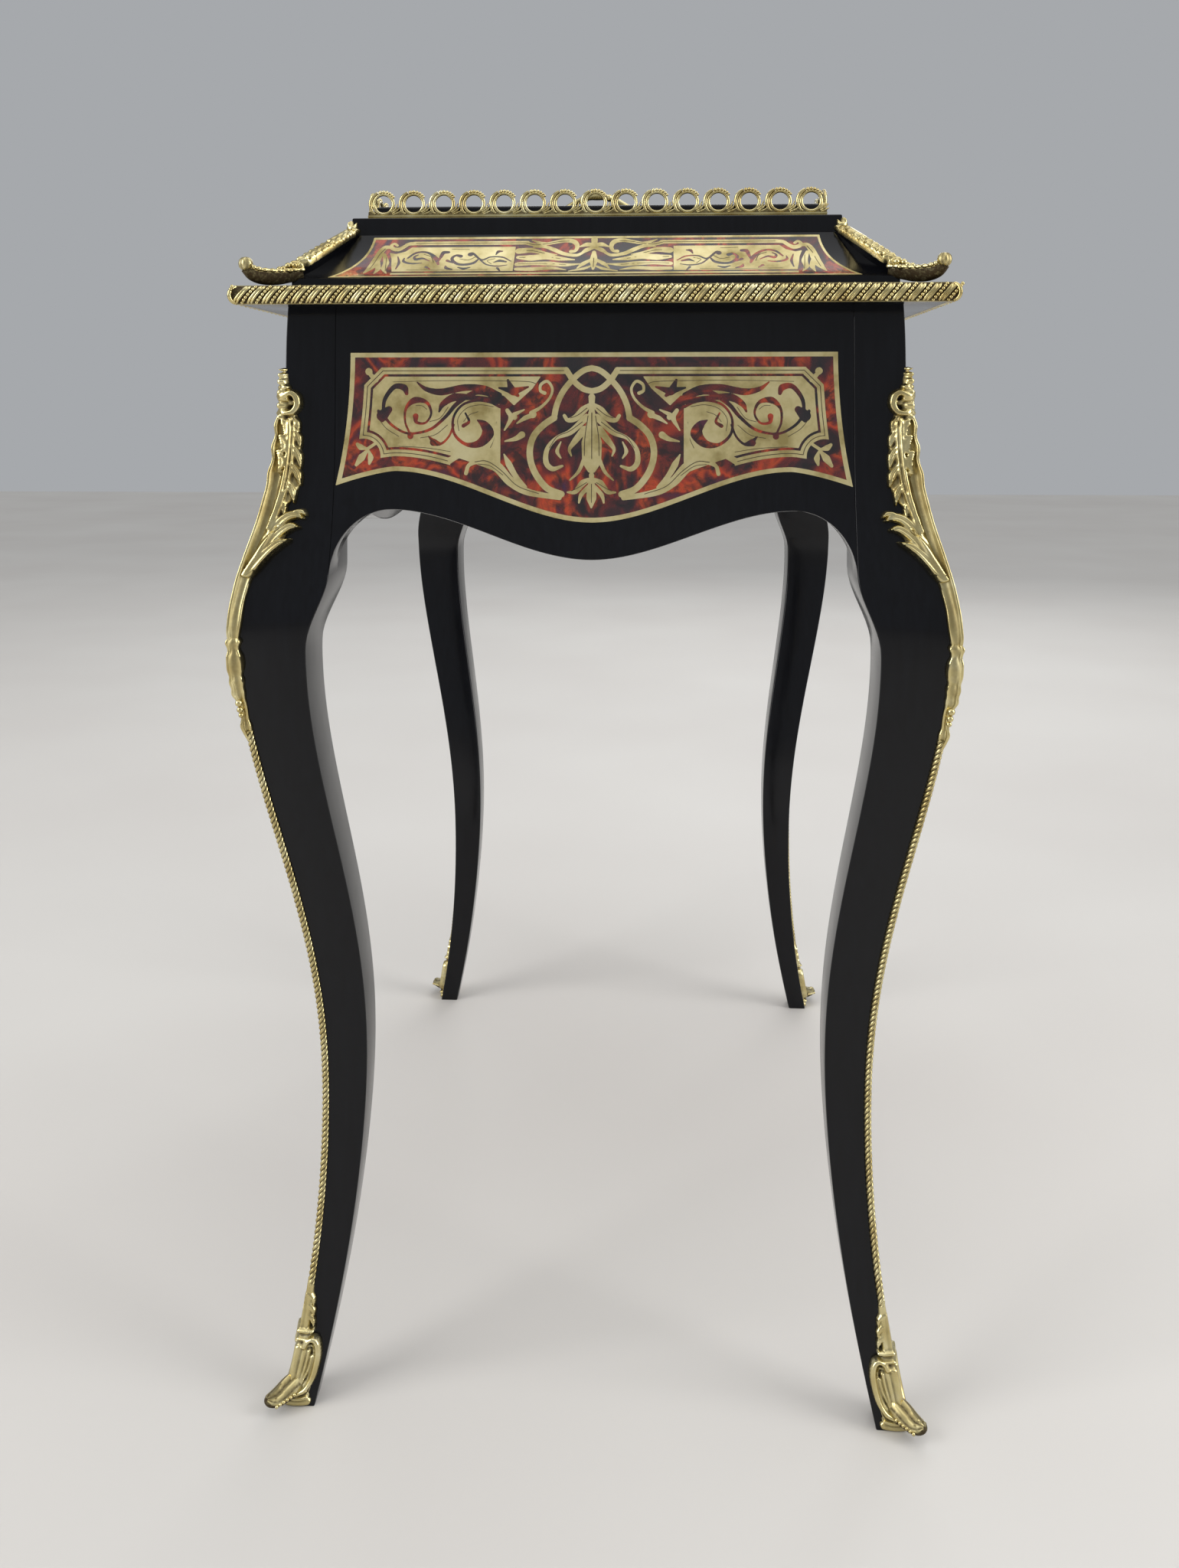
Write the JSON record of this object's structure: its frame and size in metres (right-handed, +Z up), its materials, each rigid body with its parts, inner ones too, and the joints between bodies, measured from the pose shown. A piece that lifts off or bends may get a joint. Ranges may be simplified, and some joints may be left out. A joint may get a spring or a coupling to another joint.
{
  "type": "jardiniere table",
  "caption": "Oblong plant table on cabriole legs: ebonised case with brass and tortoiseshell marquetry, gilt bronze mounts, ring gallery, lift-off lid and zinc liner.",
  "frame": {"origin": "on the floor, in the middle of the four feet", "axes": "+Z up, +Y along the long side, +X along the short side; the pictured end faces -Y"},
  "size_m": [0.4642, 0.6702, 0.807],
  "materials": {
    "ebonised_wood": "french-polished ebonised pearwood, glossy",
    "boulle_marquetry": "polished brass inlay in red tortoiseshell",
    "gilt_bronze": "chased and gilt, rubbed, with brown recesses",
    "softwood": "planed pine, unfinished",
    "zinc_sheet": "dull grey zinc"
  },
  "bodies": {
    "root": {"frieze_rail_front": "ebonised_wood", "frieze_rail_right": "ebonised_wood", "frieze_rail_back": "ebonised_wood", "frieze_rail_left": "ebonised_wood", "frieze_marquetry_front": "boulle_marquetry", "frieze_marquetry_right": "boulle_marquetry", "frieze_marquetry_back": "boulle_marquetry", "frieze_marquetry_left": "boulle_marquetry", "slab_board_front": "ebonised_wood", "slab_board_right": "ebonised_wood", "slab_board_back": "ebonised_wood", "slab_board_left": "ebonised_wood", "edge_moulding_front": "gilt_bronze", "edge_moulding_right": "gilt_bronze", "edge_moulding_back": "gilt_bronze", "edge_moulding_left": "gilt_bronze", "cavetto_board_front": "ebonised_wood", "cavetto_board_right": "ebonised_wood", "cavetto_board_back": "ebonised_wood", "cavetto_board_left": "ebonised_wood", "cavetto_marquetry_front": "boulle_marquetry", "cavetto_marquetry_right": "boulle_marquetry", "cavetto_marquetry_back": "boulle_marquetry", "cavetto_marquetry_left": "boulle_marquetry", "cap_board_front": "ebonised_wood", "cap_board_right": "ebonised_wood", "cap_board_back": "ebonised_wood", "cap_board_left": "ebonised_wood", "gallery_front": "gilt_bronze", "gallery_right": "gilt_bronze", "gallery_back": "gilt_bronze", "gallery_left": "gilt_bronze", "leg_front_left": "ebonised_wood", "leg_front_right": "ebonised_wood", "leg_back_right": "ebonised_wood", "leg_back_left": "ebonised_wood", "knee_mount_front_left": "gilt_bronze", "knee_mount_front_right": "gilt_bronze", "knee_mount_back_right": "gilt_bronze", "knee_mount_back_left": "gilt_bronze", "arris_trim_front_left": "gilt_bronze", "arris_trim_front_right": "gilt_bronze", "arris_trim_back_right": "gilt_bronze", "arris_trim_back_left": "gilt_bronze", "sabot_front_left": "gilt_bronze", "sabot_front_right": "gilt_bronze", "sabot_back_right": "gilt_bronze", "sabot_back_left": "gilt_bronze", "corner_mount_front_left": "gilt_bronze", "corner_mount_front_right": "gilt_bronze", "corner_mount_back_right": "gilt_bronze", "corner_mount_back_left": "gilt_bronze", "bottom_board": "softwood", "carcass_blocks": "softwood"},
    "liner": {"zinc_liner": "zinc_sheet"},
    "lid": {"lid_panel": "ebonised_wood", "lid_cleats": "softwood", "lid_handle_front": "gilt_bronze", "lid_handle_back": "gilt_bronze", "handle_nuts": "gilt_bronze"}
  },
  "joints": [
    {"name": "liner_lift", "type": "slide", "parent": "root", "child": "liner", "axis": [0, 0, 1], "range_m": [0, 0.18]},
    {"name": "lid_lift", "type": "slide", "parent": "liner", "child": "lid", "axis": [0, 0, 1], "range_m": [0, 0.12]}
  ]
}
